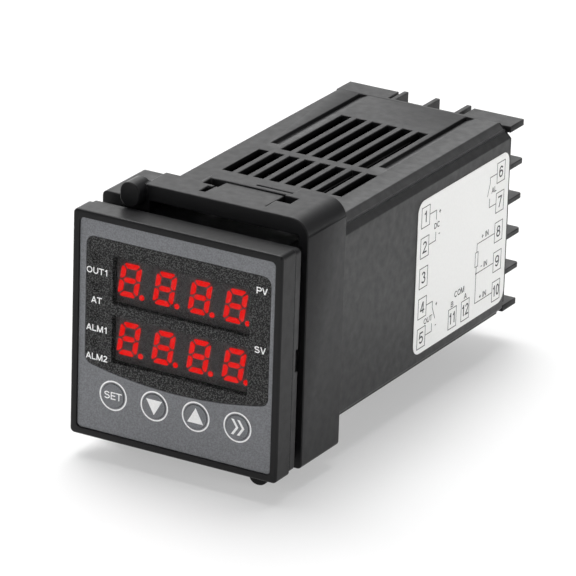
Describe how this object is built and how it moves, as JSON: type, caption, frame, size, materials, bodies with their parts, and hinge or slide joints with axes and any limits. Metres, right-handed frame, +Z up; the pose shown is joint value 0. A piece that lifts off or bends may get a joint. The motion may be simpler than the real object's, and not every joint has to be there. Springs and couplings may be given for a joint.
{
  "type": "panel temperature controller",
  "caption": "Square panel temperature controller with a lit display, round keys, a vented case, rear screw terminals and a sliding mounting collar.",
  "frame": {"origin": "middle of the panel plane, at the rear face of the case flange", "axes": "+X to the right of someone who reads the display, +Y to the rear, +Z up"},
  "size_m": [0.048, 0.1066, 0.0576],
  "materials": {
    "case_plastic": "fine matt grain",
    "bezel_plastic": "fine matt grain",
    "film": "satin",
    "window": "tinted, smooth",
    "display_body": "matt",
    "figures": "lit red",
    "lamp": "clear",
    "key_plastic": "matt",
    "switch_body": "matt",
    "board": "solder mask",
    "ferrite": "ferrite",
    "coil_tape": "yellow tape",
    "relay_case": "moulded",
    "black_box": "moulded",
    "capacitor_sleeve": "sleeve",
    "film_box": "moulded box",
    "chip": "moulded",
    "steel": "nickel plated",
    "brass": "tinned",
    "label": "printed film"
  },
  "bodies": {
    "housing": {"case_tube": "case_plastic", "terminal_block": "case_plastic", "terminal_contacts": "brass", "clamp_plates": "steel", "terminal_screws": "steel", "wiring_label": "label"},
    "front_unit": {"front_bezel": "bezel_plastic", "front_film": "film", "display_window": "window", "pv_display": "display_body", "sv_display": "display_body", "pv_segments": "figures", "sv_segments": "figures", "indicator_lamps": "lamp", "key_switches": "switch_body", "display_board": "board", "power_board": "board", "control_board": "board", "joint_blocks": "black_box", "transformer_core": "ferrite", "transformer_coil": "coil_tape", "output_relay": "relay_case", "alarm_relay": "black_box", "smoothing_capacitor": "capacitor_sleeve", "film_capacitor": "film_box", "controller_chip": "chip", "driver_chip": "chip"},
    "collar": {"mounting_collar": "case_plastic"},
    "key_set": {"key_set": "key_plastic"},
    "key_down": {"key_down": "key_plastic"},
    "key_up": {"key_up": "key_plastic"},
    "key_shift": {"key_shift": "key_plastic"}
  },
  "joints": [
    {"name": "unit_slide", "type": "slide", "parent": "housing", "child": "front_unit", "axis": [0, -1, 0], "range_m": [0, 0.084]},
    {"name": "collar_slide", "type": "slide", "parent": "housing", "child": "collar", "axis": [0, 1, 0], "range_m": [0, 0.088]},
    {"name": "key_set_press", "type": "slide", "parent": "front_unit", "child": "key_set", "axis": [0, 1, 0], "range_m": [0, 0.0003], "stiffness_N_per_m": 600, "springref_m": -0.0008},
    {"name": "key_down_press", "type": "slide", "parent": "front_unit", "child": "key_down", "axis": [0, 1, 0], "range_m": [0, 0.0003], "stiffness_N_per_m": 600, "springref_m": -0.0008},
    {"name": "key_up_press", "type": "slide", "parent": "front_unit", "child": "key_up", "axis": [0, 1, 0], "range_m": [0, 0.0003], "stiffness_N_per_m": 600, "springref_m": -0.0008},
    {"name": "key_shift_press", "type": "slide", "parent": "front_unit", "child": "key_shift", "axis": [0, 1, 0], "range_m": [0, 0.0003], "stiffness_N_per_m": 600, "springref_m": -0.0008}
  ]
}
